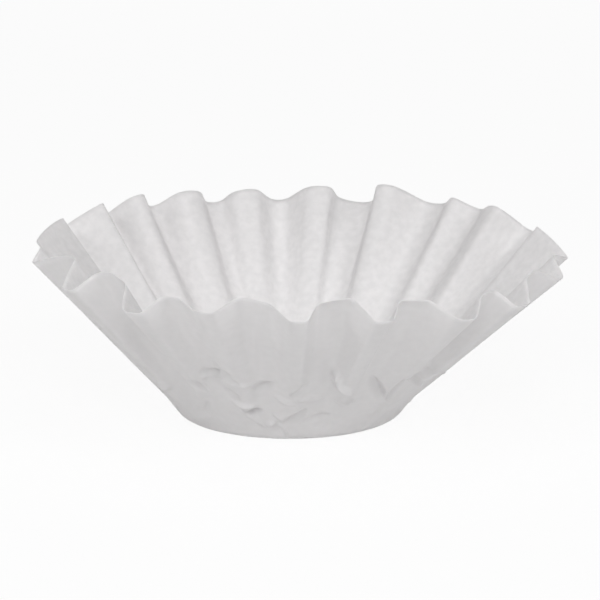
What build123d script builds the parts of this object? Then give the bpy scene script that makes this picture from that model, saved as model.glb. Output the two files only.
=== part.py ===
from build123d import *
import os
from math import atan2, ceil, cos, degrees, radians, sin, sqrt, tan

os.makedirs("parts", exist_ok=True)

# A paper filter of the flat-bottomed basket kind: one round sheet of thin white paper, pressed
# into a shallow dish whose wall is gathered into twenty uneven flutes. The origin is the middle
# of the underside, +Z points up into the open cup and +X is the right-hand side of the picture.

# The sheet.
paper = 0.15  # thickness
flute_length = 59.2  # from the ring where the flutes start to the cut edge, along the paper
sheet_offset = 0.9  # how far right of the pressed base the middle of the round cut lies

# The pressed base: a flat foot, a soft heel bend and a plain band that rises to the flutes.
foot_radius = 32.5  # where the line of the foot would meet the line of the band
band_run = 5.2  # how far the band leans out between the foot and the ring
band_rise = 6.9  # height of the ring
heel_bend = 5.0  # outer radius of the bend between the foot and the band

# Room that the trimming solid has below the ring.
overrun = 2.0

# The facets that curved paper is divided into.
bend_facets = 4  # across each bend of a flute
heel_facets = 3  # up the heel bend
ring_step = 4  # degrees of the base that one facet spans at most

ring_radius = foot_radius + band_run

# The bends of the wall, counterclockwise from +X. Each has its bearing round the base in degrees,
# the slope of the wall along it above level in degrees, and how much of the shorter of its two
# panels its rounding takes up. A wide crest or fold has two or three bends.
bend_angles_and_shares = [
    # right-hand end, then along the back
    (0.5, 41.4, 0.15), (14.2, 49.8, 0.15),
    (20.5, 42.3, 0.60), (28.0, 42.6, 0.50), (31.0, 52.6, 0.60), (35.8, 51.2, 0.60),
    (41.2, 46.4, 0.40), (44.8, 48.4, 0.50), (47.4, 52.4, 0.50),
    (52.1, 46.1, 0.40), (57.5, 45.3, 0.60), (63.7, 55.4, 0.60), (68.2, 54.8, 0.30),
    (71.0, 43.1, 0.40), (75.0, 42.3, 0.90), (79.4, 44.6, 0.30), (79.9, 51.6, 0.30), (85.6, 51.6, 0.70),
    (91.1, 43.0, 0.60), (94.4, 43.1, 0.60), (98.3, 50.6, 0.60), (103.8, 49.2, 0.40),
    (105.9, 43.2, 0.50), (109.6, 43.3, 0.50), (111.9, 50.7, 0.50), (117.6, 52.5, 0.70),
    (121.8, 44.8, 0.40), (124.0, 44.4, 0.50), (129.2, 54.4, 0.30), (132.4, 53.4, 0.60),
    (136.4, 43.2, 0.50), (142.2, 54.0, 0.20),
    (151.0, 43.2, 0.40), (158.0, 52.0, 0.20),
    # left-hand end, then along the front
    (181.0, 50.6, 0.20), (190.8, 51.8, 0.20),
    (195.0, 46.9, 0.35), (205.9, 54.9, 0.70), (211.4, 55.2, 0.40),
    (215.3, 44.6, 0.50), (219.5, 45.4, 0.50), (221.9, 53.0, 0.60), (227.3, 54.4, 0.60), (232.3, 51.4, 0.25),
    (234.8, 42.8, 0.50), (239.4, 42.6, 0.50), (242.2, 49.2, 0.70), (246.2, 49.3, 0.70),
    (251.1, 45.0, 0.80), (254.8, 45.2, 0.70), (258.7, 50.4, 0.70), (261.3, 50.6, 0.50), (266.4, 48.8, 0.60),
    (270.2, 43.0, 0.60), (273.8, 43.0, 0.40), (275.8, 49.2, 0.50), (279.0, 50.2, 0.80), (283.7, 50.1, 0.50),
    (286.8, 41.8, 0.50), (290.8, 41.6, 0.40), (293.1, 48.3, 0.40), (299.4, 47.6, 0.50),
    (304.4, 39.4, 0.60), (308.6, 38.9, 0.40), (312.4, 45.6, 0.25), (317.5, 46.1, 0.30),
    (319.8, 39.4, 0.40), (324.3, 39.4, 0.40), (328.8, 46.8, 0.40), (335.0, 47.6, 0.40),
    (341.2, 41.2, 0.50), (344.0, 41.4, 0.50), (349.4, 47.6, 0.30),
]

# The foot's line turns up into the band's line through the heel's turn.
heel_turn = atan2(band_rise, band_run)
band_wall = paper / sin(heel_turn)
bend_radius = min(heel_bend, sqrt(band_run**2 + band_rise**2) / tan(heel_turn / 2))
flat_radius = foot_radius - bend_radius * tan(heel_turn / 2)

# Corners of the outline that the wall would have if it ran on to a level plane above its cut edge.
open_height = band_rise + flute_length
corners = []
for bearing, slope, _ in bend_angles_and_shares:
    reach = ring_radius + flute_length / tan(radians(slope))
    corners.append(Vector(reach * cos(radians(bearing)), reach * sin(radians(bearing)), open_height))
count = len(corners)


def on_ring(point, radius):
    """The point of the ring that lies on the same bearing."""
    bearing = atan2(point.Y, point.X)
    return Vector(radius * cos(bearing), radius * sin(bearing), band_rise)


# Each panel runs from one corner to the next, and all its paper comes from one point of the ring.
middles = [(corners[i] + corners[(i + 1) % count]) * 0.5 for i in range(count)]
normals = [(corners[(i + 1) % count] - corners[i]).cross(middles[i] - on_ring(middles[i], ring_radius)) for i in range(count)]
levels = [Vector(normal.X, normal.Y).normalized() for normal in normals]
walls = [paper / sqrt(1 - normal.normalized().Z ** 2) for normal in normals]


def bend_arc(i):
    """The arc that rounds off corner i."""
    before, after = corners[i - 1] - corners[i], corners[(i + 1) % count] - corners[i]
    tangent = bend_angles_and_shares[i][2] * min(before.length, after.length) / 2
    before, after = before.normalized(), after.normalized()
    half_opening = radians(before.get_angle(after)) / 2
    to_centre = tangent / cos(half_opening) - tangent * tan(half_opening)
    middle = corners[i] + (before + after).normalized() * to_centre
    return ThreePointArc(corners[i] + before * tangent, middle, corners[i] + after * tangent, mode=Mode.PRIVATE)


def skin(inside):
    """The flat faces of one side of the paper, its open outline and its outline at the foot."""
    depth = paper if inside else 0
    radius = ring_radius - band_wall if inside else ring_radius
    hubs = [on_ring(middles[i] - levels[i] * walls[i] if inside else middles[i], radius) for i in range(count)]
    rounded = []
    for i in range(count):
        arc = bend_arc(i)
        points = [arc @ (k / bend_facets) for k in range(bend_facets + 1)]
        if inside:
            for k in range(bend_facets + 1):
                share = k / bend_facets
                level = (levels[i - 1] * (1 - share) + levels[i] * share).normalized()
                points[k] = points[k] - level * (walls[i - 1] * (1 - share) + walls[i] * share)
        rounded.append(points)
    half = bend_facets // 2
    outline, ring, faces = [], [], []
    for i in range(count):
        # the ring from the last hub to this one, under the middle of the bend between their panels
        apex = rounded[i][half]
        start = atan2(hubs[i - 1].Y, hubs[i - 1].X)
        turn = (atan2(hubs[i].Y, hubs[i].X) - start) % radians(360)
        steps = ceil(degrees(turn) / ring_step)
        arc = [hubs[i - 1]]
        for k in range(1, steps):
            bearing = start + turn * k / steps
            arc.append(Vector(radius * cos(bearing), radius * sin(bearing), band_rise))
        ring += arc
        arc.append(hubs[i])
        faces += [Face(Wire.make_polygon([a, b, apex])) for a, b in zip(arc, arc[1:])]
        # the fan of paper from this hub to the rounded outline
        fan = rounded[i][half:] + rounded[(i + 1) % count][: half + 1]
        outline += fan[:-1]
        faces += [Face(Wire.make_polygon([hubs[i], a, b])) for a, b in zip(fan, fan[1:])]
    # the band, the heel and the foot
    upper = ring
    for k in range(heel_facets, -1, -1):
        angle = heel_turn * k / heel_facets
        reach = (flat_radius + (bend_radius - depth) * sin(angle)) / radius
        height = bend_radius - (bend_radius - depth) * cos(angle)
        lower = [Vector(point.X * reach, point.Y * reach, height) for point in ring]
        for j in range(len(ring)):
            faces.append(Face(Wire.make_polygon([upper[j - 1], upper[j], lower[j], lower[j - 1]])))
        upper = lower
    faces.append(Face(Wire.make_polygon(upper)))
    return faces, Wire.make_polygon(outline)


outer_faces, outer_outline = skin(inside=False)
inner_faces, inner_outline = skin(inside=True)
open_edge = Face(outer_outline, [inner_outline])

with BuildPart() as filter_paper:
    add(Solid(Shell(outer_faces + inner_faces + [open_edge])))

    # Cut edge: the sheet was cut round while flat, so its edge stays one flute length from the ring.
    cut_axis = Axis((sheet_offset, 0, band_rise), (0, 0, 1))
    with BuildSketch(Plane(origin=cut_axis.position, x_dir=(1, 0, 0), z_dir=(0, -1, 0))):
        with BuildLine():
            edge = CenterArc((ring_radius, 0), flute_length, 0, 90)
            Polyline(
                edge @ 1,
                (0, flute_length),
                (0, -band_rise - overrun),
                (ring_radius + flute_length, -band_rise - overrun),
                edge @ 0,
            )
        make_face()
    revolve(axis=cut_axis, mode=Mode.INTERSECT)

filter_paper.part.label = "filter_paper"
export_step(filter_paper.part, "parts/filter_paper.step")
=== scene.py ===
"""White paper coffee filter of the flat-bottomed basket kind, standing on a pale studio floor.

One sheet of paper is folded by rule from its bends, creased at listed places, cockled and
given its thickness by a Geometry Nodes tree, and dressed in a fibrous paper material.
"""

import logging
from dataclasses import dataclass, field
from enum import Enum
from math import atan2, cos, pi, radians, sin, tan

import bpy
import numpy as np
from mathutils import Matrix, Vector

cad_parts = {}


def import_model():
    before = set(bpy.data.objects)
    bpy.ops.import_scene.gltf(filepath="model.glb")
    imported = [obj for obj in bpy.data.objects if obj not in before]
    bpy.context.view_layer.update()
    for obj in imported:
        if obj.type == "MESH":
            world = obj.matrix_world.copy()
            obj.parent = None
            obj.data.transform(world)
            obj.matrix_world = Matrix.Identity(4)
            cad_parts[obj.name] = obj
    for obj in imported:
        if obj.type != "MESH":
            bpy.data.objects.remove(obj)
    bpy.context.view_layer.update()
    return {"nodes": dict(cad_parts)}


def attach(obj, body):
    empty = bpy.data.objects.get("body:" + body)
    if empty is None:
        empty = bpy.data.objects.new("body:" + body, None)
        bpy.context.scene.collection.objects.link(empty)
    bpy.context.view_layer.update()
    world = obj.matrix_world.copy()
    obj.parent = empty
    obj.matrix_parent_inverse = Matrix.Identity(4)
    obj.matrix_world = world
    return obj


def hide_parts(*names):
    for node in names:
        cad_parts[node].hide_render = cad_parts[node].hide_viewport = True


log = logging.getLogger("scene")

MM = 0.001
LEAST_TAPER = 1e-6
WHITE = (1.0, 1.0, 1.0, 1.0)


@dataclass(frozen=True)
class SheetSizes:
    """The sizes of the paper and of its pressed base, in metres.

    Attributes:
        thickness: How thick the paper is.
        flute_length: How far the paper goes from the ring to the cut edge, without the cut's offset.
        cut_offset: How far the round cut lies to the right of the base's middle.
        foot_radius: The foot's radius, up to the corner that the heel rounds off.
        band_run: How far the plain band reaches outwards from that corner.
        band_rise: How far the band climbs.
        heel_bend: The radius that rounds off the corner.
    """

    thickness: float = 0.15 * MM
    flute_length: float = 59.2 * MM
    cut_offset: float = 0.9 * MM
    foot_radius: float = 32.5 * MM
    band_run: float = 5.2 * MM
    band_rise: float = 6.9 * MM
    heel_bend: float = 5.0 * MM

    @property
    def ring_radius(self) -> float:
        """Return the radius of the ring where the flutes start."""
        return self.foot_radius + self.band_run


@dataclass(frozen=True)
class Bend:
    """One bend of the wall, from the ring up to the rim.

    Attributes:
        bearing: Where it stands, in degrees counterclockwise from +X.
        slope: How steeply the wall climbs along it, in degrees.
        round_share: The share of its shorter panel that its rounding takes up.
    """

    bearing: float
    slope: float
    round_share: float


# The back comes first, then the front.
BEND_ANGLES_AND_SHARES = (
    (0.5, 41.4, 0.15), (14.2, 49.8, 0.15),
    (20.5, 42.3, 0.60), (28.0, 42.6, 0.50), (31.0, 52.6, 0.60), (35.8, 51.2, 0.60),
    (41.2, 46.4, 0.40), (44.8, 48.4, 0.50), (47.4, 52.4, 0.50),
    (52.1, 46.1, 0.40), (57.5, 45.3, 0.60), (63.7, 55.4, 0.60), (68.2, 54.8, 0.30),
    (71.0, 43.1, 0.40), (75.0, 42.3, 0.90), (79.4, 44.6, 0.30), (79.9, 51.6, 0.30), (85.6, 51.6, 0.70),
    (91.1, 43.0, 0.60), (94.4, 43.1, 0.60), (98.3, 50.6, 0.60), (103.8, 49.2, 0.40),
    (105.9, 43.2, 0.50), (109.6, 43.3, 0.50), (111.9, 50.7, 0.50), (117.6, 52.5, 0.70),
    (121.8, 44.8, 0.40), (124.0, 44.4, 0.50), (129.2, 54.4, 0.30), (132.4, 53.4, 0.60),
    (136.4, 43.2, 0.50), (142.2, 54.0, 0.20),
    (151.0, 43.2, 0.40), (158.0, 52.0, 0.20),
    (181.0, 50.6, 0.20), (190.8, 51.8, 0.20),
    (195.0, 46.9, 0.35), (205.9, 54.9, 0.70), (211.4, 55.2, 0.40),
    (215.3, 44.6, 0.50), (219.5, 45.4, 0.50), (221.9, 53.0, 0.60), (227.3, 54.4, 0.60), (232.3, 51.4, 0.25),
    (234.8, 42.8, 0.50), (239.4, 42.6, 0.50), (242.2, 49.2, 0.70), (246.2, 49.3, 0.70),
    (251.1, 45.0, 0.80), (254.8, 45.2, 0.70), (258.7, 50.4, 0.70), (261.3, 50.6, 0.50), (266.4, 48.8, 0.60),
    (270.2, 43.0, 0.60), (273.8, 43.0, 0.40), (275.8, 49.2, 0.50), (279.0, 50.2, 0.80), (283.7, 50.1, 0.50),
    (286.8, 41.8, 0.50), (290.8, 41.6, 0.40), (293.1, 48.3, 0.40), (299.4, 47.6, 0.50),
    (304.4, 39.4, 0.60), (308.6, 38.9, 0.40), (312.4, 45.6, 0.25), (317.5, 46.1, 0.30),
    (319.8, 39.4, 0.40), (324.3, 39.4, 0.40), (328.8, 46.8, 0.40), (335.0, 47.6, 0.40),
    (341.2, 41.2, 0.50), (344.0, 41.4, 0.50), (349.4, 47.6, 0.30),
)
BENDS = tuple(Bend(*row) for row in BEND_ANGLES_AND_SHARES)


class Relief(Enum):
    """Which way a crease stands out of the paper, as the sign of its push towards the inside."""

    RIDGE = -1.0
    VALLEY = 1.0


@dataclass(frozen=True)
class Crease:
    """A straight pinch in the paper, pointed at both ends, with a flat facet on each side of its line.

    Attributes:
        start: The first end: its bearing in degrees and its distance up the paper in millimetres.
        end: The other end, in the same way.
        height: How far the line stands out, in millimetres.
        left: The width of the facet on the left, in millimetres, as seen from outside the filter
            when looking from the start to the end.
        right: The width of the facet on the right.
        relief: Which way the line stands out.
    """

    start: tuple[float, float]
    end: tuple[float, float]
    height: float
    left: float
    right: float
    relief: Relief = Relief.VALLEY


CREASES = (
    Crease((240.5, 22.4), (253.0, 25.0), 1.3, 3.0, 1.6),
    Crease((240.0, 20.6), (252.0, 23.2), 0.6, 1.0, 0.8, Relief.RIDGE),
    Crease((248.0, 32.0), (253.8, 18.5), 1.5, 1.8, 3.2),
    Crease((237.0, 22.6), (241.3, 13.4), 1.3, 2.8, 1.6),
    Crease((252.0, 19.8), (260.5, 19.6), 1.0, 1.2, 2.0, Relief.RIDGE),
    Crease((256.5, 14.6), (265.0, 20.8), 1.25, 1.8, 2.6),
    Crease((248.0, 17.8), (251.5, 10.5), 1.0, 2.2, 1.6),
    Crease((248.0, 10.2), (258.5, 7.6), 1.2, 1.2, 2.0, Relief.RIDGE),
    Crease((252.0, 5.4), (260.0, 6.4), 1.4, 2.2, 2.0),
    Crease((250.0, 8.5), (260.0, -3.5), 1.0, 1.6, 2.0, Relief.RIDGE),
    Crease((264.0, 14.4), (272.5, 10.2), 1.1, 1.2, 2.6, Relief.RIDGE),
    Crease((269.5, 14.6), (276.5, 21.4), 1.35, 1.6, 2.8),
    Crease((263.0, 5.0), (268.5, 1.0), 1.0, 1.8, 1.4, Relief.RIDGE),
    Crease((266.0, -1.4), (277.0, 8.0), 1.3, 1.4, 3.4),
    Crease((259.0, -1.2), (265.0, 0.2), 1.0, 1.4, 1.6, Relief.RIDGE),
    Crease((264.0, 0.0), (269.0, -8.0), 0.7, 1.6, 1.6),
    Crease((275.0, 0.4), (287.5, 4.4), 0.95, 2.8, 1.8),
    Crease((280.0, -1.8), (291.5, -2.4), 0.45, 1.8, 1.6),
    Crease((271.5, 12.8), (282.5, 11.4), 0.8, 1.4, 1.6, Relief.RIDGE),
    Crease((281.5, 27.6), (291.5, 14.8), 1.9, 1.8, 2.6, Relief.RIDGE),
    Crease((286.0, 11.8), (296.0, 9.4), 1.2, 1.4, 1.8, Relief.RIDGE),
    Crease((296.0, 22.6), (310.0, 7.4), 1.9, 1.8, 3.0),
    Crease((310.5, 7.0), (306.5, 25.0), 2.4, 2.6, 2.2),
    Crease((306.5, 27.8), (334.5, 18.8), 1.2, 2.0, 1.6, Relief.RIDGE),
    Crease((306.0, 22.8), (333.0, 10.2), 1.2, 3.0, 2.0),
    Crease((307.5, -7.0), (318.0, 8.4), 0.6, 3.4, 3.4),
    Crease((262.5, 38.8), (273.0, 40.2), 0.6, 1.2, 1.0, Relief.RIDGE),
    Crease((222.0, -3.4), (239.5, 11.0), 0.9, 2.6, 2.0),
    Crease((215.0, -5.0), (236.0, 0.8), 0.8, 2.2, 1.8, Relief.RIDGE),
    Crease((198.0, 4.8), (222.0, 11.8), 1.2, 2.2, 1.8, Relief.RIDGE),
    Crease((200.0, -6.5), (206.0, 6.0), 1.6, 2.8, 2.2),
    Crease((335.0, 1.2), (346.0, -1.6), 0.4, 1.8, 1.8, Relief.RIDGE),
)

# Where the cut edge curls outwards.
RIM_CURLS = (
    Crease((275.8, 59.4), (282.0, 59.4), 0.8, 1.4, 1.4, Relief.RIDGE),
    Crease((293.5, 59.2), (300.0, 58.9), 0.9, 1.4, 1.6, Relief.RIDGE),
    Crease((225.5, 58.4), (230.5, 58.2), 0.8, 1.2, 1.6, Relief.RIDGE),
)


@dataclass(frozen=True)
class SheetGrid:
    """How finely the sheet is divided.

    Attributes:
        columns: How many points stand round the rim.
        front_density: How many times closer together they are on the side that faces -Y.
        upper_rows: How many rows the upper part of the wall has.
        lower_rows: How many rows its lower part has, where most creases are.
        band_rows: How many rows the band has.
        heel_rows: How many rows the heel's bend has.
        foot_rows: How many rows the foot has, with its middle.
        lower_reach: How far up the paper from the ring the lower part goes, in metres.
    """

    columns: int = 840
    front_density: float = 1.5
    upper_rows: int = 24
    lower_rows: int = 40
    band_rows: int = 11
    heel_rows: int = 8
    foot_rows: int = 10
    lower_reach: float = 22.0 * MM

    def step(self, row: int) -> int:
        """Return how many columns apart a row's points are: the lower it lies, the fewer it needs."""
        foot_from = self.upper_rows + self.lower_rows + self.band_rows + self.heel_rows
        return 1 if row < self.upper_rows else 2 if row < foot_from else 4


@dataclass(frozen=True)
class PaperFinish:
    """The look of the paper: its colour, its cloudy formation and its fibres.

    Attributes:
        colour: The paper's colour where it is dense.
        thin_colour: Its colour where it is thin.
        dense_glow: What dense paper lets through.
        thin_glow: What thin paper lets through.
        smooth_roughness: The roughness where it is dense.
        rough_roughness: The roughness where it is thin.
        specular_level: How strongly it reflects.
        even_thinness: How thin it is on average, from 0 to 1.
        outer_contrast: How much of the clouds shows on the outer side.
        through_share: How much of the light goes through the paper instead of coming back.
        cloud_size: The size of the clouds, in metres.
        cloud_low: The noise level at which the paper is densest.
        cloud_high: The noise level at which it is thinnest.
        cloud_detail: How much finer detail the clouds carry.
        fibre_size: The size of the fibres, in metres.
        fibre_detail: How much finer detail they carry.
        fibre_stretch_share: The share of its scale that a fibre's noise keeps along the fibre.
        bump_height: How far the fibres stand out, in metres.
        bump_strength: How much of that shows.
    """

    colour: tuple[float, float, float] = (0.885, 0.875, 0.88)
    thin_colour: tuple[float, float, float] = (0.81, 0.80, 0.805)
    dense_glow: tuple[float, float, float] = (0.64, 0.635, 0.63)
    thin_glow: tuple[float, float, float] = (1.0, 0.99, 0.985)
    smooth_roughness: float = 0.78
    rough_roughness: float = 0.92
    specular_level: float = 0.25
    even_thinness: float = 0.5
    outer_contrast: float = 0.35
    through_share: float = 0.30
    cloud_size: float = 2.4 * MM
    cloud_low: float = 0.36
    cloud_high: float = 0.68
    cloud_detail: float = 5.0
    fibre_size: float = 0.35 * MM
    fibre_detail: float = 2.0
    fibre_stretch_share: float = 0.5
    bump_height: float = 0.03 * MM
    bump_strength: float = 0.12


@dataclass(frozen=True)
class Crumpling:
    """How far the paper leaves its ruled form.

    Attributes:
        cockle_height: How far the wide waves push the paper, in metres.
        cockle_size: How wide they are, in metres.
        crinkle_height: How far the small waves push it, in metres.
        crinkle_size: How wide they are, in metres.
        wave_detail: How much finer detail both carry.
        stretch_share: The share of their number that the waves have up the paper.
        seed: Which waves they are.
        crinkle_shift: How far the small waves' seed is from that of the wide ones.
        heel_looseness: How much of the waves is left where the heel begins.
        crease_height_share: How much of its listed height a crease stands out, where 1 is all of it.
        crease_taper: How late a crease narrows towards its ends.
        wall_widening_share: How much farther out a length up the wall lies, as a share of it.
        base_widening_share: How much farther in a length down the base lies, as a share of it.
    """

    cockle_height: float = 0.28 * MM
    cockle_size: float = 11.0 * MM
    crinkle_height: float = 0.015 * MM
    crinkle_size: float = 4.0 * MM
    wave_detail: float = 0.5
    stretch_share: float = 0.45
    seed: float = 7.0
    crinkle_shift: float = 9.0
    heel_looseness: float = 0.5
    crease_height_share: float = 1.15
    crease_taper: float = 1.8
    wall_widening_share: float = 0.67
    base_widening_share: float = 0.6


def periodic_blur(values: np.ndarray, half_window: int) -> np.ndarray:
    """Return the running mean of a closed row of values.

    Args:
        values: One value or point per column.
        half_window: How many columns each way the mean reaches.

    Returns:
        The averaged values, as many as before.
    """
    shifted = [np.roll(values, k, axis=0) for k in range(-half_window, half_window + 1)]
    return np.mean(shifted, axis=0)


def points_round(
    radius: float | np.ndarray, bearings: np.ndarray, height: float | np.ndarray
) -> np.ndarray:
    """Return points round the vertical axis.

    Args:
        radius: Their distance from the axis, for all or for each.
        bearings: Their bearings, in radians.
        height: Their height, for all or for each.

    Returns:
        One row of x, y and z for each point.
    """
    level = np.broadcast_to(height, bearings.shape)
    return np.column_stack((radius * np.cos(bearings), radius * np.sin(bearings), level))


@dataclass
class FluteRule:
    """The ruled form of the wall: straight lines of paper from the ring to the folded rim.

    Attributes:
        sizes: The sizes of the paper.
        columns: How many lines of paper the wall has.
        front_density: How many times closer together they are on the side that faces -Y.
        stations: How many even steps the folded outline is measured in.
        bend_points: How many points round off each bend.
        open_from: How far behind the axis the folds begin to have opened, in ring radii.
        open_gain: How fast they open beyond that, for each ring radius.
        open_window: How far open folds are averaged each way, in stations.
        drift_windows: How far the lines' bearings are averaged each way, in one pass after another.
        front_edge: How far in front of the axis half of the closer spacing is reached, in ring radii.
        front_gain: How suddenly it is reached.
        trim_rounds: How many times the lines' lengths are corrected to the cut.
        share: How far round the outline each line stands, from 0 to 1.
        bearing: Each line's bearing at the ring, in radians.
        foot: Where each line starts on the ring.
        along: The direction of each line up the wall.
        length: How long each line is up to the cut edge.
    """

    sizes: SheetSizes
    columns: int
    front_density: float
    stations: int = 720
    bend_points: int = 13
    open_from: float = 1.2
    open_gain: float = 2.0
    open_window: int = 2
    drift_windows: tuple[int, ...] = (9, 6)
    front_edge: float = 0.1
    front_gain: float = 8.0
    trim_rounds: int = 12
    share: np.ndarray = field(init=False)
    bearing: np.ndarray = field(init=False)
    foot: np.ndarray = field(init=False)
    along: np.ndarray = field(init=False)
    length: np.ndarray = field(init=False)

    def __post_init__(self) -> None:
        """Lay out the lines of paper along the folded outline."""
        even = self._softened(self._resampled(self._rounded_outline()))
        steady = np.arange(self.stations) * 2 * pi / self.stations
        drift = np.unwrap(np.arctan2(even[:, 1], even[:, 0])) - steady
        for window in self.drift_windows:
            drift = periodic_blur(drift, window)
        self.share = self._column_shares(even)
        self.bearing = self._at_columns(drift) + self.share * 2 * pi
        self.foot = points_round(self.sizes.ring_radius, self.bearing, self.sizes.band_rise)
        outline = [self._at_columns(even[:, k]) for k in (0, 1)]
        top_height = self.sizes.band_rise + self.sizes.flute_length
        top = np.column_stack((*outline, np.full(self.columns, top_height)))
        along = top - self.foot
        self.along = along / np.linalg.norm(along, axis=1)[:, None]
        self.length = self._trimmed_length()

    def _corner(self, bend: Bend) -> Vector:
        """Return where a bend meets the level plane that is one flute length above the ring."""
        reach = self.sizes.ring_radius + self.sizes.flute_length / tan(radians(bend.slope))
        return Vector((reach * cos(radians(bend.bearing)), reach * sin(radians(bend.bearing))))

    def _rounded_outline(self) -> np.ndarray:
        """Return the folded outline that the wall would have on that plane.

        Returns:
            One row of x and y for each point of the closed outline, with its bends rounded.
        """
        corners = [self._corner(bend) for bend in BENDS]
        points = []
        for i, bend in enumerate(BENDS):
            corner = corners[i]
            before, after = corners[i - 1] - corner, corners[(i + 1) % len(corners)] - corner
            tangent = bend.round_share * min(before.length, after.length) / 2
            start, end = corner + before.normalized() * tangent, corner + after.normalized() * tangent
            for share in np.linspace(0.0, 1.0, self.bend_points):
                points.append(start.lerp(corner, share).lerp(corner.lerp(end, share), share))
        return np.array([tuple(point) for point in points])

    def _resampled(self, outline: np.ndarray) -> np.ndarray:
        """Return evenly spaced points of a closed outline.

        Args:
            outline: One row of x and y for each of its points.

        Returns:
            One such row for each station.
        """
        closed = np.vstack((outline, outline[:1]))
        run = np.concatenate(([0.0], np.cumsum(np.linalg.norm(np.diff(closed, axis=0), axis=1))))
        places = np.linspace(0.0, run[-1], self.stations, endpoint=False)
        return np.column_stack([np.interp(places, run, closed[:, k]) for k in (0, 1)])

    def _softened(self, even: np.ndarray) -> np.ndarray:
        """Return the outline with its bends eased, more at the back, where the folds have opened.

        Args:
            even: One row of x and y for each station.

        Returns:
            The eased rows.
        """
        eased = (np.roll(even, 1, axis=0) + 2 * even + np.roll(even, -1, axis=0)) / 4
        behind = even[:, 1] / self.sizes.ring_radius
        open_share = np.clip((behind - self.open_from) * self.open_gain, 0.0, 1.0)[:, None]
        return eased + (periodic_blur(eased, self.open_window) - eased) * open_share

    def _column_shares(self, even: np.ndarray) -> np.ndarray:
        """Return how far round the outline each line stands, from 0 to 1.

        Args:
            even: One row of x and y for each station.

        Returns:
            One share for each line, closer together at the front.
        """
        behind = even[:, 1] / self.sizes.ring_radius
        front = 1 / (1 + np.exp((behind + self.front_edge) * self.front_gain))
        density = 1 + (self.front_density - 1) * front
        run = np.concatenate(([0.0], np.cumsum(density)))
        places = np.linspace(0.0, run[-1], self.columns, endpoint=False)
        return np.interp(places, run, np.linspace(0.0, 1.0, self.stations + 1))

    def _at_columns(self, values: np.ndarray) -> np.ndarray:
        """Return a closed row of values, one per station, at each line of paper."""
        closed = np.append(values, values[0])
        return np.interp(self.share * self.stations, np.arange(self.stations + 1), closed)

    def _trimmed_length(self) -> np.ndarray:
        """Return how long each line is up to the round cut.

        Returns:
            One length for each line, such that its end is one flute length from the cut's own ring.
        """
        sizes = self.sizes
        length = np.full(self.columns, sizes.flute_length)
        for _ in range(self.trim_rounds):
            place = self.foot + self.along * length[:, None]
            level = np.hypot(place[:, 0] - sizes.cut_offset, place[:, 1]) - sizes.ring_radius
            length = length * sizes.flute_length / np.hypot(level, place[:, 2] - sizes.band_rise)
        return length


@dataclass(frozen=True)
class BaseRing:
    """One level ring of the pressed base.

    Attributes:
        radius: Its radius, in metres.
        height: Its height, in metres.
        rise: Its distance up the paper from the ring where the flutes start, in metres.
        loose: How much of the waves the paper takes up there, from 0 to 1.
    """

    radius: float
    height: float
    rise: float
    loose: float


@dataclass(frozen=True)
class SheetRow:
    """One row of points round the sheet.

    Attributes:
        places: Where they are, in metres.
        bearings: Their bearings, in radians.
        turns: How far round the flat sheet they lie, in radians.
        rises: Their distances up the paper from the ring, in metres.
        loose: How much of the waves the paper takes up at each, from 0 to 1.
    """

    places: np.ndarray
    bearings: np.ndarray
    turns: np.ndarray
    rises: np.ndarray
    loose: np.ndarray

    def thinned(self, step: int) -> "SheetRow":
        """Return the row with only every so many of its points."""
        columns = (self.places, self.bearings, self.turns, self.rises, self.loose)
        return SheetRow(*(values[::step] for values in columns))


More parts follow.
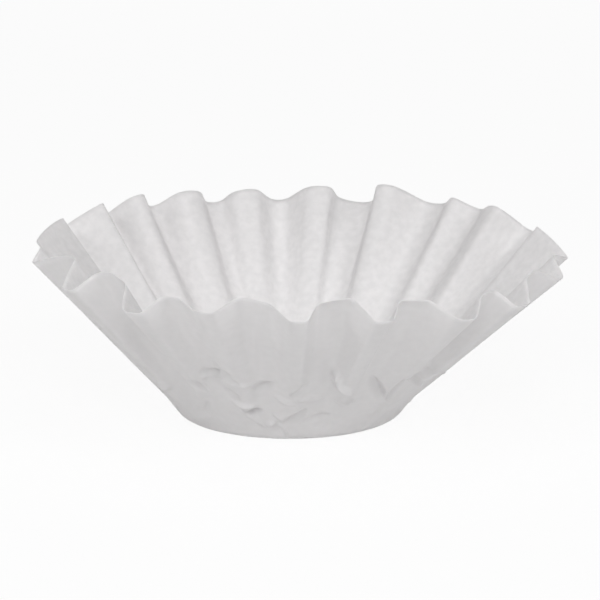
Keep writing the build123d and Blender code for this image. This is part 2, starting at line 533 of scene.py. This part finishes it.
@dataclass(frozen=True)
class NodeBench:
    """A node tree that is being wired.

    Attributes:
        tree: The tree.
    """

    tree: bpy.types.NodeTree

    def sockets(self, direction: str, kind: str, *names: str) -> None:
        """Add sockets of one kind to the tree's own inputs or outputs.

        Args:
            direction: "INPUT" or "OUTPUT".
            kind: The sockets' type.
            names: Their names, in order.
        """
        for name in names:
            self.tree.interface.new_socket(name, in_out=direction, socket_type=kind)

    def feed(self, socket: bpy.types.NodeSocket, source: object) -> None:
        """Link an input to an output, or give it a plain value.

        Args:
            socket: The input.
            source: The output, or the value.
        """
        if isinstance(source, bpy.types.NodeSocket):
            self.tree.links.new(source, socket)
        else:
            socket.default_value = source

    def node(
        self, kind: str, inputs: dict[str | int, object] | None = None, **settings: object
    ) -> bpy.types.Node:
        """Add a node to the tree.

        Args:
            kind: The node's type.
            inputs: The output or value for each input, by name or number.
            settings: The node's own settings, by name.

        Returns:
            The node.
        """
        node = self.tree.nodes.new(kind)
        for name, value in settings.items():
            setattr(node, name, value)
        for key, source in (inputs or {}).items():
            self.feed(node.inputs[key], source)
        return node

    def math(self, operation: str, *values: object) -> bpy.types.NodeSocket:
        """Return the result of a sum on values or outputs."""
        return self.node("ShaderNodeMath", dict(enumerate(values)), operation=operation).outputs[0]

    def scaled(self, vector: bpy.types.NodeSocket, by: bpy.types.NodeSocket) -> bpy.types.NodeSocket:
        """Return a vector made longer by a value."""
        return self.node("ShaderNodeVectorMath", {0: vector, "Scale": by}, operation="SCALE").outputs[0]

    def ramp(self, source: bpy.types.NodeSocket, **ends: float) -> bpy.types.NodeSocket:
        """Return an even ramp of a value.

        Args:
            source: The value.
            ends: Those of from_min, from_max, to_min and to_max that aren't 0 or 1.

        Returns:
            The output of the ramp.
        """
        named = {name.replace("_", " ").title(): value for name, value in ends.items()}
        return self.node("ShaderNodeMapRange", {"Value": source, **named}).outputs[0]

    def blend(
        self, factor: bpy.types.NodeSocket, low: tuple[float, ...], high: tuple[float, ...]
    ) -> bpy.types.NodeSocket:
        """Return a colour between two.

        Args:
            factor: How far it has gone from the low one to the high one, from 0 to 1.
            low: The red, green and blue of the first.
            high: Those of the second.

        Returns:
            The output with the colour.
        """
        inputs = {"Factor": factor, "A": (*low, 1.0), "B": (*high, 1.0)}
        return self.node("ShaderNodeMix", inputs, data_type="RGBA").outputs["Result"]


def emptied_bench(owner: bpy.types.Material | bpy.types.World) -> NodeBench:
    """Return the node tree of a material or a world, with nothing in it.

    Args:
        owner: The material or the world.

    Returns:
        Its tree, ready to be wired.
    """
    owner.use_nodes = True
    owner.node_tree.nodes.clear()
    return NodeBench(owner.node_tree)


@dataclass(frozen=True)
class CrumpledPaper:
    """The rule that crumples one layer of paper and gives it two sides and a cut edge.

    Attributes:
        crumpling: How far the paper leaves its ruled form.
        merge_distance: How close together two points are that are one, in metres.
    """

    crumpling: Crumpling
    merge_distance: float = 0.0005 * MM

    def _waves(
        self, bench: NodeBench, given: bpy.types.Node, name: str, shift: float
    ) -> bpy.types.NodeSocket:
        """Return a soft random push, the same on every run.

        Args:
            bench: The tree.
            given: Its inputs.
            name: What the waves are called in the names of the inputs.
            shift: How far their seed is from the tree's.

        Returns:
            The push, in metres.
        """
        folds = bench.node("GeometryNodeInputNamedAttribute", {"Name": "folds"}, data_type="FLOAT_VECTOR")
        per_metre = bench.math("POWER", given.outputs[f"{name} Size"], -1.0)
        inputs = {
            "Vector": bench.scaled(folds.outputs["Attribute"], per_metre),
            "W": bench.math("ADD", given.outputs["Seed"], shift),
            "Scale": 1.0,
            "Detail": self.crumpling.wave_detail,
        }
        noise = bench.node("ShaderNodeTexNoise", inputs, noise_dimensions="4D")
        centred = bench.math("SUBTRACT", noise.outputs[0], 0.5)
        return bench.math("MULTIPLY", bench.math("MULTIPLY", centred, 2.0), given.outputs[f"{name} Height"])

    def _pushed(self, bench: NodeBench, given: bpy.types.Node) -> bpy.types.NodeSocket:
        """Return the layer, pushed into the cup by its waves and creases.

        Args:
            bench: The tree.
            given: Its inputs.

        Returns:
            The geometry, shaded smooth.
        """
        loose = bench.node("GeometryNodeInputNamedAttribute", {"Name": "loose"}, data_type="FLOAT")
        crumple = bench.node("GeometryNodeInputNamedAttribute", {"Name": "crumple"}, data_type="FLOAT")
        cockles = self._waves(bench, given, "Cockle", 0.0)
        crinkles = self._waves(bench, given, "Crinkle", self.crumpling.crinkle_shift)
        waves = bench.math("MULTIPLY", bench.math("ADD", cockles, crinkles), loose.outputs["Attribute"])
        push = bench.math("ADD", waves, crumple.outputs["Attribute"])
        offset = bench.scaled(bench.node("GeometryNodeInputNormal").outputs[0], push)
        layer = {"Geometry": given.outputs["Geometry"], "Offset": offset}
        moved = bench.node("GeometryNodeSetPosition", layer)
        smooth = bench.node("GeometryNodeSetShadeSmooth", {"Geometry": moved.outputs["Geometry"]})
        return smooth.outputs["Geometry"]

    def _lifted(
        self, bench: NodeBench, layer: bpy.types.NodeSocket, thickness: bpy.types.NodeSocket
    ) -> bpy.types.NodeSocket:
        """Return the inner side and the cut edge, with the attribute "inner" at 1 on that side.

        Args:
            bench: The tree.
            layer: The paper's outer side, with its faces turned into the cup.
            thickness: How far the inner side is lifted off it.

        Returns:
            The geometry, with a flat-shaded edge.
        """
        inputs = {"Mesh": layer, "Offset Scale": thickness, "Individual": False}
        lifted = bench.node("GeometryNodeExtrudeMesh", inputs, mode="FACES")
        inputs = {
            "Geometry": lifted.outputs["Mesh"],
            "Selection": lifted.outputs["Side"],
            "Shade Smooth": False,
        }
        edge = bench.node("GeometryNodeSetShadeSmooth", inputs)
        inputs = {"Geometry": edge.outputs["Geometry"], "Name": "inner", "Value": lifted.outputs["Top"]}
        marked = bench.node("GeometryNodeStoreNamedAttribute", inputs, data_type="FLOAT", domain="POINT")
        return marked.outputs["Geometry"]

    def build(self) -> bpy.types.NodeTree:
        """Make the tree.

        Returns:
            The tree, which ends in real geometry with its material set.
        """
        bench = NodeBench(bpy.data.node_groups.new("Crumpled paper", "GeometryNodeTree"))
        bench.sockets("INPUT", "NodeSocketGeometry", "Geometry")
        sizes = ("Thickness", "Cockle Height", "Cockle Size", "Crinkle Height", "Crinkle Size", "Seed")
        bench.sockets("INPUT", "NodeSocketFloat", *sizes)
        bench.sockets("INPUT", "NodeSocketMaterial", "Material")
        bench.sockets("OUTPUT", "NodeSocketGeometry", "Geometry")
        given = bench.node("NodeGroupInput")
        layer = self._pushed(bench, given)
        inner = self._lifted(bench, layer, given.outputs["Thickness"])
        outer = bench.node("GeometryNodeFlipFaces", {"Mesh": layer})
        joined = bench.node("GeometryNodeJoinGeometry", {"Geometry": outer.outputs["Mesh"]})
        bench.feed(joined.inputs["Geometry"], inner)
        inputs = {"Geometry": joined.outputs["Geometry"], "Distance": self.merge_distance}
        merged = bench.node("GeometryNodeMergeByDistance", inputs)
        real = bench.node("GeometryNodeRealizeInstances", {"Geometry": merged.outputs["Geometry"]})
        inputs = {"Geometry": real.outputs["Geometry"], "Material": given.outputs["Material"]}
        dressed = bench.node("GeometryNodeSetMaterial", inputs)
        bench.node("NodeGroupOutput", {"Geometry": dressed.outputs["Geometry"]})
        return bench.tree


@dataclass(frozen=True)
class PaperMaterial:
    """White uncoated paper with cloudy formation and fine fibres.

    Attributes:
        finish: The look of the paper.
    """

    finish: PaperFinish

    @staticmethod
    def _noise(
        bench: NodeBench, given: bpy.types.Node, size: str, detail: float, stretch: tuple[float, float, float]
    ) -> bpy.types.NodeSocket:
        """Return a noise over the sheet.

        Args:
            bench: The tree.
            given: Its inputs.
            size: The name of the input with the noise's size.
            detail: How much finer detail it carries.
            stretch: The share of its scale that it keeps along each axis.

        Returns:
            The noise, around a half.
        """
        per_metre = bench.math("DIVIDE", 1.0, given.outputs[size])
        inputs = {0: bench.scaled(given.outputs["Coordinates"], per_metre), 1: stretch}
        turned = bench.node("ShaderNodeVectorMath", inputs, operation="MULTIPLY")
        inputs = {"Vector": turned.outputs[0], "Scale": 1.0, "Detail": detail}
        return bench.node("ShaderNodeTexNoise", inputs).outputs[0]

    def _formation(self) -> bpy.types.NodeTree:
        """Return the shared effect: where the paper is thick or thin, and how its surface stands.

        Returns:
            The group, which puts out a thinness and a height.
        """
        finish = self.finish
        bench = NodeBench(bpy.data.node_groups.new("Paper formation", "ShaderNodeTree"))
        bench.sockets("INPUT", "NodeSocketVector", "Coordinates")
        bench.sockets("INPUT", "NodeSocketFloat", "Cloud Size", "Fibre Size", "Contrast")
        bench.sockets("OUTPUT", "NodeSocketFloat", "Thinness", "Height")
        given = bench.node("NodeGroupInput")
        cloud = self._noise(bench, given, "Cloud Size", finish.cloud_detail, (1.0, 1.0, 1.0))
        ramp = bench.ramp(cloud, from_min=finish.cloud_low, from_max=finish.cloud_high)
        centred = bench.math("SUBTRACT", ramp, finish.even_thinness)
        thinness = bench.math("MULTIPLY_ADD", centred, given.outputs["Contrast"], finish.even_thinness)
        stretch = finish.fibre_stretch_share
        across = self._noise(bench, given, "Fibre Size", finish.fibre_detail, (1.0, stretch, 1.0))
        along = self._noise(bench, given, "Fibre Size", finish.fibre_detail, (stretch, 1.0, 1.0))
        height = bench.math("SUBTRACT", bench.math("ADD", across, along), cloud)
        bench.node("NodeGroupOutput", {"Thinness": thinness, "Height": height})
        return bench.tree

    def build(self) -> bpy.types.Material:
        """Make the material.

        Returns:
            The material, which reflects most of the light and lets some through.
        """
        finish = self.finish
        material = bpy.data.materials.new("filter_paper")
        bench = emptied_bench(material)
        sheet = bench.node("ShaderNodeAttribute", attribute_name="sheet")
        inner = bench.node("ShaderNodeAttribute", attribute_name="inner")
        formation = bench.node("ShaderNodeGroup", node_tree=self._formation())
        bench.feed(formation.inputs["Coordinates"], sheet.outputs["Vector"])
        bench.feed(formation.inputs["Cloud Size"], finish.cloud_size)
        bench.feed(formation.inputs["Fibre Size"], finish.fibre_size)
        contrast = bench.ramp(inner.outputs["Fac"], to_min=finish.outer_contrast)
        bench.feed(formation.inputs["Contrast"], contrast)
        thinness = formation.outputs["Thinness"]
        inputs = {
            "Strength": finish.bump_strength,
            "Distance": finish.bump_height,
            "Height": formation.outputs["Height"],
        }
        bump = bench.node("ShaderNodeBump", inputs)
        inputs = {
            "Base Color": bench.blend(thinness, finish.colour, finish.thin_colour),
            "Roughness": bench.ramp(thinness, to_min=finish.smooth_roughness, to_max=finish.rough_roughness),
            "Specular IOR Level": finish.specular_level,
            "Normal": bump.outputs["Normal"],
        }
        paper = bench.node("ShaderNodeBsdfPrincipled", inputs)
        through = bench.blend(thinness, finish.dense_glow, finish.thin_glow)
        glow = bench.node("ShaderNodeBsdfTranslucent", {"Color": through})
        inputs = {"Fac": finish.through_share, 1: paper.outputs[0], 2: glow.outputs[0]}
        mixed = bench.node("ShaderNodeMixShader", inputs)
        bench.node("ShaderNodeOutputMaterial", {"Surface": mixed.outputs[0]})
        return material


@dataclass
class FilterPaper:
    """The whole filter: one sheet, folded, crumpled and given its thickness.

    Attributes:
        sizes: The sizes of the paper.
        grid: How finely it is divided.
        finish: Its look.
        crumpling: How far it leaves its ruled form.
        rule: That form, worked out from the others.
    """

    sizes: SheetSizes = SheetSizes()
    grid: SheetGrid = SheetGrid()
    finish: PaperFinish = PaperFinish()
    crumpling: Crumpling = Crumpling()
    rule: FluteRule = field(init=False)

    def __post_init__(self) -> None:
        """Work out the ruled form."""
        self.rule = FluteRule(self.sizes, self.grid.columns, self.grid.front_density)

    def _base(self) -> list[BaseRing]:
        """Return the rings of the pressed base.

        Returns:
            The rings of the band, the heel and the foot, from the top down and inwards.
        """
        sizes, grid, heel_looseness = self.sizes, self.grid, self.crumpling.heel_looseness
        turn = atan2(sizes.band_rise, sizes.band_run)
        tangent = sizes.heel_bend * tan(turn / 2)
        flat = sizes.foot_radius - tangent
        straight = (sizes.band_run**2 + sizes.band_rise**2) ** 0.5 - tangent
        rings = []
        for k in range(1, grid.band_rows + 1):
            share = k / grid.band_rows
            back = straight * share
            radius, height = sizes.ring_radius - back * cos(turn), sizes.band_rise - back * sin(turn)
            rings.append(BaseRing(radius, height, -back, 1 - (1 - heel_looseness) * share))
        for k in range(1, grid.heel_rows + 1):
            share = 1 - k / grid.heel_rows
            angle = turn * share
            radius, height = flat + sizes.heel_bend * sin(angle), sizes.heel_bend * (1 - cos(angle))
            rise = -straight - sizes.heel_bend * (turn - angle)
            rings.append(BaseRing(radius, height, rise, heel_looseness * share))
        for k in range(1, grid.foot_rows):
            radius = flat * (1 - k / grid.foot_rows)
            rings.append(BaseRing(radius, 0.0, -straight - sizes.heel_bend * turn - (flat - radius), 0.0))
        return rings

    def _row(self, places: np.ndarray, rises: np.ndarray, loose: float) -> SheetRow:
        """Return a row with one point on each line of paper.

        Args:
            places: Where they are.
            rises: Their distances up the paper from the ring.
            loose: How much of the waves the paper takes up there.

        Returns:
            The row.
        """
        turns = self.rule.share * 2 * pi
        return SheetRow(places, self.rule.bearing, turns, rises, np.full(self.grid.columns, loose))

    def _rows(self) -> list[SheetRow]:
        """Return the rows of the whole sheet.

        Returns:
            The rows from the rim down to the foot's last ring, each with as many points as it needs.
        """
        rule, grid = self.rule, self.grid
        rises = []
        for k in range(grid.upper_rows + 1):
            rises.append(rule.length + (grid.lower_reach - rule.length) * k / grid.upper_rows)
        for k in range(1, grid.lower_rows + 1):
            rises.append(np.full(grid.columns, grid.lower_reach * (1 - k / grid.lower_rows)))
        rows = [self._row(rule.foot + rule.along * rise[:, None], rise, 1.0) for rise in rises]
        for ring in self._base():
            places = points_round(ring.radius, rule.bearing, ring.height)
            rows.append(self._row(places, np.full(grid.columns, ring.rise), ring.loose))
        return [row.thinned(grid.step(k)) for k, row in enumerate(rows)]

    @staticmethod
    def _strip(a: int, a_count: int, b: int, b_count: int) -> list[tuple[int, ...]]:
        """Return the faces between two rows, where the lower one may have half as many points.

        Args:
            a: The number of the upper row's first point.
            a_count: How many points that row has.
            b: The number of the lower row's first point.
            b_count: How many points that row has.

        Returns:
            Each face's points, in order.
        """
        faces: list[tuple[int, ...]] = []
        if a_count == b_count:
            for j in range(a_count):
                n = (j + 1) % a_count
                faces.append((a + j, a + n, b + n, b + j))
            return faces
        for j in range(b_count):
            n = (j + 1) % b_count
            near, mid, far = a + 2 * j, a + 2 * j + 1, a + (2 * j + 2) % a_count
            faces += [(near, mid, b + j), (mid, far, b + n), (mid, b + n, b + j)]
        return faces

    def _faces(self, counts: list[int]) -> list[tuple[int, ...]]:
        """Return the faces of the whole sheet, with its middle as the last point.

        Args:
            counts: How many points each row has.

        Returns:
            Each face's points, in order.
        """
        starts = [sum(counts[:k]) for k in range(len(counts))]
        faces = []
        for k in range(len(counts) - 1):
            faces += self._strip(starts[k], counts[k], starts[k + 1], counts[k + 1])
        last, count, middle = starts[-1], counts[-1], sum(counts)
        return faces + [(last + j, last + (j + 1) % count, middle) for j in range(count)]

    def _spread(self, bearing: np.ndarray, rise: np.ndarray) -> np.ndarray:
        """Return how far round the paper a bearing lies, in metres, at a distance up it."""
        widening = np.where(rise > 0, self.crumpling.wall_widening_share, self.crumpling.base_widening_share)
        return ((bearing + pi) % (2 * pi) - pi) * (self.sizes.ring_radius + widening * rise)

    def _pinch(self, crease: Crease, bearing: np.ndarray, rise: np.ndarray) -> np.ndarray:
        """Return how far one crease pushes each point into the cup.

        Args:
            crease: The crease.
            bearing: Each point's bearing, in radians.
            rise: Each point's distance up the paper from the ring, in metres.

        Returns:
            The push along the inner side's normal, in metres.
        """
        middle = radians((crease.start[0] + crease.end[0]) / 2)
        ends = [
            np.array((float(self._spread(np.array(radians(turn) - middle), np.array(up * MM))), up * MM))
            for turn, up in (crease.start, crease.end)
        ]
        run = ends[1] - ends[0]
        place = np.column_stack((self._spread(bearing - middle, rise), rise)) - ends[0]
        share = place @ run / (run @ run)
        away = (place[:, 1] * run[0] - place[:, 0] * run[1]) / np.linalg.norm(run)
        taper = np.clip(1.0 - np.abs(2 * share - 1.0) ** self.crumpling.crease_taper, 0.0, 1.0)
        width = np.where(away > 0, crease.left, crease.right) * MM * np.maximum(taper, LEAST_TAPER)
        tent = np.clip(1.0 - np.abs(away) / width, 0.0, 1.0)
        height = crease.relief.value * crease.height * self.crumpling.crease_height_share * MM
        return height * taper * tent

    @staticmethod
    def _store(mesh: bpy.types.Mesh, name: str, values: np.ndarray) -> None:
        """Store a value or a vector for each point of a mesh, under a name."""
        kind, slot = ("FLOAT_VECTOR", "vector") if values.ndim == 2 else ("FLOAT", "value")
        mesh.attributes.new(name, kind, "POINT").data.foreach_set(slot, values.ravel())

    def _mesh(self) -> bpy.types.Mesh:
        """Return the sheet as one layer that faces into the cup.

        Returns:
            The mesh, with each point's place on the flat sheet in "sheet" and round the ring in
            "folds", its push by the creases in "crumple" and its share of the waves in "loose".
        """
        rows = self._rows()
        last = rows[-1]
        hub_rise = last.rises[0] - np.linalg.norm(last.places[0][:2])
        nothing = np.zeros(1)
        rows.append(SheetRow(np.zeros((1, 3)), nothing, nothing, np.array([hub_rise]), nothing))
        places = np.concatenate([row.places for row in rows])
        bearing = np.concatenate([row.bearings for row in rows])
        turn = np.concatenate([row.turns for row in rows])
        rise = np.concatenate([row.rises for row in rows])
        loose = np.concatenate([row.loose for row in rows])
        mesh = bpy.data.meshes.new("filter_paper_sheet")
        mesh.from_pydata(places.tolist(), [], self._faces([len(row.rises) for row in rows[:-1]]))
        flat = points_round(np.maximum(rise - hub_rise, 0.0), turn, 0.0)
        folds = points_round(self.sizes.ring_radius, turn, rise * self.crumpling.stretch_share)
        crumple = sum(self._pinch(crease, bearing, rise) for crease in CREASES + RIM_CURLS)
        self._store(mesh, "sheet", flat)
        self._store(mesh, "folds", folds)
        self._store(mesh, "crumple", crumple)
        self._store(mesh, "loose", loose)
        mesh.validate()
        return mesh

    def build(self) -> bpy.types.Object:
        """Make the finished piece.

        Returns:
            The piece, in its place.
        """
        source = bpy.data.objects.new("filter_paper_source", self._mesh())
        bpy.context.scene.collection.objects.link(source)
        tree = CrumpledPaper(self.crumpling).build()
        modifier = source.modifiers.new("paper", "NODES")
        modifier.node_group = tree
        values = {
            "Thickness": self.sizes.thickness,
            "Cockle Height": self.crumpling.cockle_height,
            "Cockle Size": self.crumpling.cockle_size,
            "Crinkle Height": self.crumpling.crinkle_height,
            "Crinkle Size": self.crumpling.crinkle_size,
            "Seed": self.crumpling.seed,
            "Material": PaperMaterial(self.finish).build(),
        }
        for name, value in values.items():
            modifier[tree.interface.items_tree[name].identifier] = value
        depsgraph = bpy.context.evaluated_depsgraph_get()
        mesh = bpy.data.meshes.new_from_object(source.evaluated_get(depsgraph))
        piece = bpy.data.objects.new("filter_paper_folded", mesh)
        bpy.context.scene.collection.objects.link(piece)
        source.modifiers.remove(modifier)
        bpy.data.objects.remove(source)
        return piece


@dataclass(frozen=True)
class Softbox:
    """A soft lamp that faces the object.

    Attributes:
        name: The lamp's name.
        place: Where it hangs, in metres.
        size: Its width and height, in metres.
        power: Its power, in watts.
    """

    name: str
    place: tuple[float, float, float]
    size: tuple[float, float]
    power: float

    def build(self, aim: Vector) -> None:
        """Make the lamp.

        Args:
            aim: The point that it faces.
        """
        data = bpy.data.lights.new(self.name, "AREA")
        data.shape = "RECTANGLE"
        data.size, data.size_y = self.size
        data.energy = self.power
        lamp = bpy.data.objects.new(self.name, data)
        lamp.location = self.place
        lamp.visible_camera = False
        lamp.rotation_euler = (Vector(self.place) - aim).to_track_quat("Z", "Y").to_euler()
        bpy.context.scene.collection.objects.link(lamp)


SOFTBOXES = (
    Softbox("top_softbox", (0.0, -0.1, 1.3), (1.0, 1.0), 4.2),
    Softbox("key_softbox", (0.0, -1.35, 0.95), (0.6, 0.6), 8.2),
    Softbox("left_softbox", (-1.1, -0.95, 0.95), (0.7, 0.7), 7.7),
    Softbox("right_softbox", (1.1, -0.95, 0.95), (0.7, 0.7), 8.1),
    Softbox("back_softbox", (0.0, 1.4, 0.14), (1.2, 0.24), 6.0),
    Softbox("back_left_softbox", (-1.1, 0.95, 0.14), (0.8, 0.24), 2.8),
    Softbox("back_right_softbox", (1.1, 0.95, 0.14), (0.8, 0.24), 3.4),
)


@dataclass(frozen=True)
class Studio:
    """Floor, light and camera.

    Attributes:
        camera_distance: How far the camera is from what it aims at, in metres.
        camera_elevation: How far above level it stands, in degrees.
        camera_aim: What it aims at, in metres.
        focal_length: Its lens, in millimetres.
        sensor_width: The width of its sensor, in millimetres.
        clip_end: How far it sees, in metres.
        lamp_aim: What the lamps face, in metres.
        floor_size: The width of the floor, in metres.
        floor_tone: The floor's own grey.
        floor_white_share: How much of the plain white backdrop shows on it, over its own grey.
        horizon_light: The strength of the surroundings' light from the level.
        zenith_light: Its strength from high up.
        zenith_from: How high up that is, as the height of a direction one long.
    """

    camera_distance: float = 1.078
    camera_elevation: float = 13.5
    camera_aim: tuple[float, float, float] = (0.00299, 0.00774, 0.03225)
    focal_length: float = 216.5
    sensor_width: float = 36.0
    clip_end: float = 50.0
    lamp_aim: tuple[float, float, float] = (0.0, 0.0, 0.03)
    floor_size: float = 8.0
    floor_tone: float = 0.96
    floor_white_share: float = 0.92
    horizon_light: float = 0.10
    zenith_light: float = 0.02
    zenith_from: float = 0.7

    @staticmethod
    def _seen(bench: NodeBench) -> bpy.types.NodeSocket:
        """Return 1 for rays that show the backdrop, straight or in a reflection, and 0 for the rest.

        Args:
            bench: The tree.

        Returns:
            The output with that value.
        """
        path = bench.node("ShaderNodeLightPath")
        total = path.outputs["Is Camera Ray"]
        for name in ("Is Glossy Ray", "Is Transmission Ray"):
            total = bench.math("MAXIMUM", total, path.outputs[name])
        return total

    def floor(self) -> bpy.types.Object:
        """Make the pale floor.

        Returns:
            The floor, which shows as white and keeps the object's shadow.
        """
        half = self.floor_size / 2
        corners = [(-half, -half, 0), (half, -half, 0), (half, half, 0), (-half, half, 0)]
        mesh = bpy.data.meshes.new("floor")
        mesh.from_pydata(corners, [], [(0, 1, 2, 3)])
        floor = bpy.data.objects.new("floor", mesh)
        bpy.context.scene.collection.objects.link(floor)
        material = bpy.data.materials.new("floor")
        bench = emptied_bench(material)
        grey = (self.floor_tone, self.floor_tone, self.floor_tone, 1.0)
        matt = bench.node("ShaderNodeBsdfDiffuse", {"Color": grey})
        white = bench.node("ShaderNodeEmission")
        faint = bench.math("MULTIPLY", self._seen(bench), self.floor_white_share)
        mixed = bench.node("ShaderNodeMixShader", {"Fac": faint, 1: matt.outputs[0], 2: white.outputs[0]})
        bench.node("ShaderNodeOutputMaterial", {"Surface": mixed.outputs[0]})
        mesh.materials.append(material)
        return floor

    def world(self) -> None:
        """Make the surroundings: white where they are seen and a soft even light elsewhere."""
        world = bpy.data.worlds.new("studio")
        bpy.context.scene.world = world
        bench = emptied_bench(world)
        direction = bench.node("ShaderNodeTexCoord")
        parts = bench.node("ShaderNodeSeparateXYZ", {0: direction.outputs["Generated"]})
        ends = {"from_max": self.zenith_from, "to_min": self.horizon_light, "to_max": self.zenith_light}
        level = bench.ramp(parts.outputs["Z"], **ends)
        soft = bench.node("ShaderNodeBackground", {"Color": WHITE, "Strength": level})
        white = bench.node("ShaderNodeBackground", {"Color": WHITE, "Strength": 1.0})
        inputs = {"Fac": self._seen(bench), 1: soft.outputs[0], 2: white.outputs[0]}
        mixed = bench.node("ShaderNodeMixShader", inputs)
        bench.node("ShaderNodeOutputWorld", {"Surface": mixed.outputs[0]})

    def camera(self) -> None:
        """Make the camera, at the photograph's viewing angle."""
        tilt = radians(self.camera_elevation)
        back = Vector((0.0, -cos(tilt), sin(tilt)))
        data = bpy.data.cameras.new("camera")
        data.sensor_width = self.sensor_width
        data.lens = self.focal_length
        data.clip_end = self.clip_end
        camera = bpy.data.objects.new("camera", data)
        camera.location = Vector(self.camera_aim) + back * self.camera_distance
        camera.rotation_euler = (radians(90.0 - self.camera_elevation), 0.0, 0.0)
        bpy.context.scene.collection.objects.link(camera)
        bpy.context.scene.camera = camera

    def build(self) -> None:
        """Make the whole studio."""
        self.floor()
        self.world()
        for softbox in SOFTBOXES:
            softbox.build(Vector(self.lamp_aim))
        self.camera()
        scene = bpy.context.scene
        scene.view_settings.view_transform = "Standard"


def main() -> None:
    """Build the scene in order and report on it."""
    logging.basicConfig(level=logging.INFO, format="%(message)s")
    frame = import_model()
    log.info("frame loaded: nodes %s", sorted(frame["nodes"]))

    piece = FilterPaper().build()
    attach(piece, "root")
    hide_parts("filter_paper")
    log.info("filter paper: %d triangles", sum(len(p.vertices) - 2 for p in piece.data.polygons))

    Studio().build()


if __name__ == "__main__":
    main()
